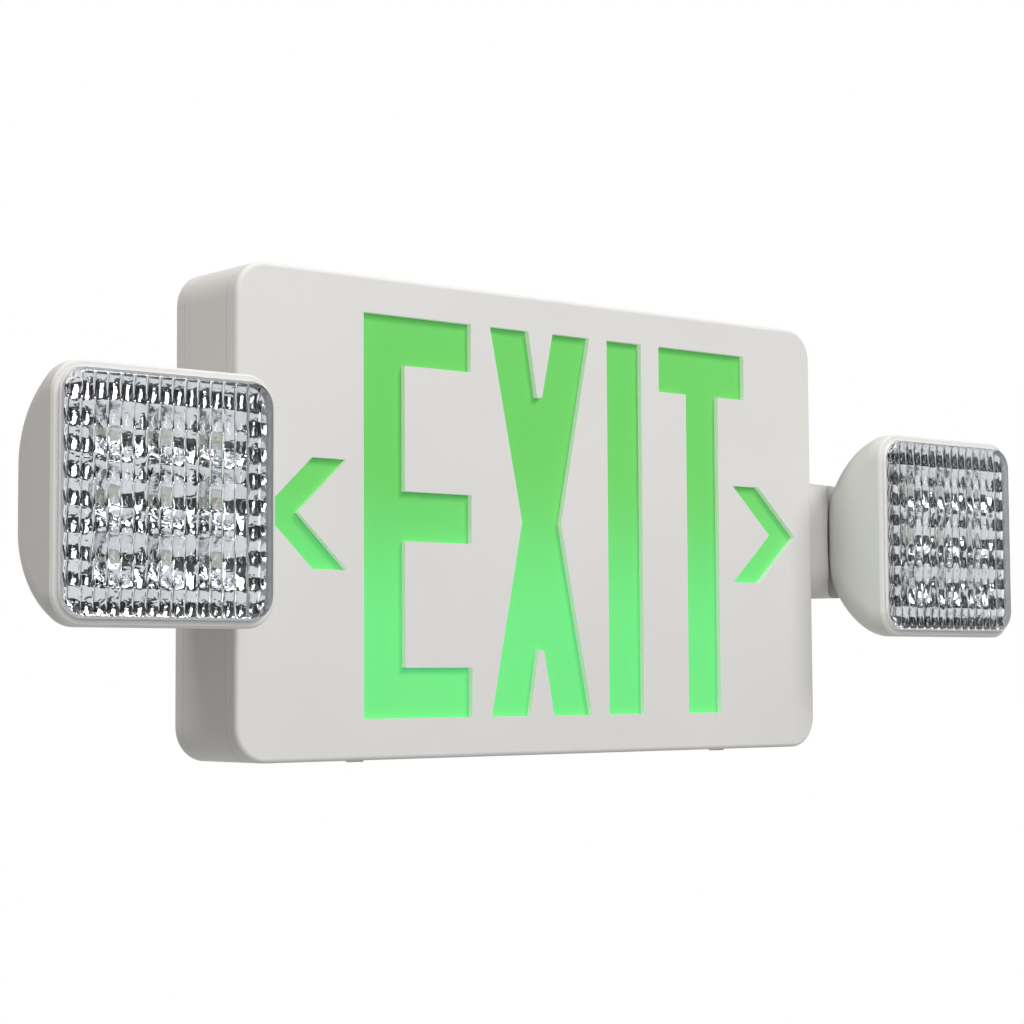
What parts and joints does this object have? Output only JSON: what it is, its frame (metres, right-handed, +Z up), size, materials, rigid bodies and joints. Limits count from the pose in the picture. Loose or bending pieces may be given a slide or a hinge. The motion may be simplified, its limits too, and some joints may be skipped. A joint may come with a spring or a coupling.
{
  "type": "emergency exit light",
  "caption": "Wall-mounted exit sign with stencil face, chevrons, green light panel and two square emergency lamp heads on swivelling arms.",
  "frame": {"origin": "centre of the back face, on the wall", "axes": "+X along the sign to its right-hand lamp, -Y out of the wall, +Z up"},
  "size_m": [0.4878, 0.0777, 0.183],
  "materials": {
    "white_plastic": "fine matte moulded polycarbonate",
    "green_panel": "translucent green diffuser sheet",
    "white_tray": "white vacuum-formed tray",
    "board_green": "solder-masked circuit board",
    "board_white": "white solder-masked circuit board",
    "led_white": "surface-mounted light",
    "steel": "zinc-plated steel",
    "winding": "laminated core with taped winding",
    "can": "sleeved aluminium can",
    "terminal": "moulded terminal housing",
    "cell_sleeve": "heat-shrunk sleeve",
    "black_plastic": "black switch housing",
    "red_button": "moulded push button",
    "clear_pipe": "clear light pipe",
    "nut_plastic": "moulded nylon nut",
    "chrome": "vacuum-metallised plastic",
    "gasket": "foam rubber ring",
    "clear_lens": "clear ribbed polycarbonate"
  },
  "bodies": {
    "sign": {"face_plate": "white_plastic", "housing": "white_plastic", "back_plate": "white_plastic", "housing_screws": "steel", "sign_diffuser": "green_panel", "reflector_tray": "white_tray", "sign_led_board": "board_white", "sign_leds": "led_white", "charger_board": "board_green", "transformer": "winding", "capacitors": "can", "terminal_block": "terminal", "battery_pack": "cell_sleeve", "battery_strap": "steel", "test_switch": "black_plastic", "status_lens": "clear_pipe"},
    "test_button": {"test_button": "red_button"},
    "right_arm": {"lamp_arm_right": "white_plastic", "arm_washer_right": "steel", "arm_nut_right": "nut_plastic"},
    "right_head": {"lamp_shell_right": "white_plastic", "pivot_pin_right": "steel", "pin_keeper_right": "steel", "lamp_board_right": "board_white", "lamp_leds_right": "led_white", "lamp_reflector_right": "chrome", "lens_gasket_right": "gasket", "lamp_lens_right": "clear_lens"},
    "left_arm": {"lamp_arm_left": "white_plastic", "arm_washer_left": "steel", "arm_nut_left": "nut_plastic"},
    "left_head": {"lamp_shell_left": "white_plastic", "pivot_pin_left": "steel", "pin_keeper_left": "steel", "lamp_board_left": "board_white", "lamp_leds_left": "led_white", "lamp_reflector_left": "chrome", "lens_gasket_left": "gasket", "lamp_lens_left": "clear_lens"}
  },
  "joints": [
    {"name": "right_tilt", "type": "hinge", "parent": "sign", "child": "right_arm", "pos_m": [0.1505, -0.021, 0], "axis": [1, 0, 0], "range_deg": [-25, 25]},
    {"name": "right_pan", "type": "hinge", "parent": "right_arm", "child": "right_head", "pos_m": [0.2002, -0.0601, 0], "axis": [0, 0, 1], "range_deg": [-8, 18]},
    {"name": "left_tilt", "type": "hinge", "parent": "sign", "child": "left_arm", "pos_m": [-0.1505, -0.021, 0], "axis": [1, 0, 0], "range_deg": [-25, 25]},
    {"name": "left_pan", "type": "hinge", "parent": "left_arm", "child": "left_head", "pos_m": [-0.2002, -0.0601, 0], "axis": [0, 0, 1], "range_deg": [-18, 8]},
    {"name": "test_button_press", "type": "slide", "parent": "sign", "child": "test_button", "axis": [0, 0, 1], "range_m": [0, 0.0015], "stiffness_N_per_m": 300}
  ]
}
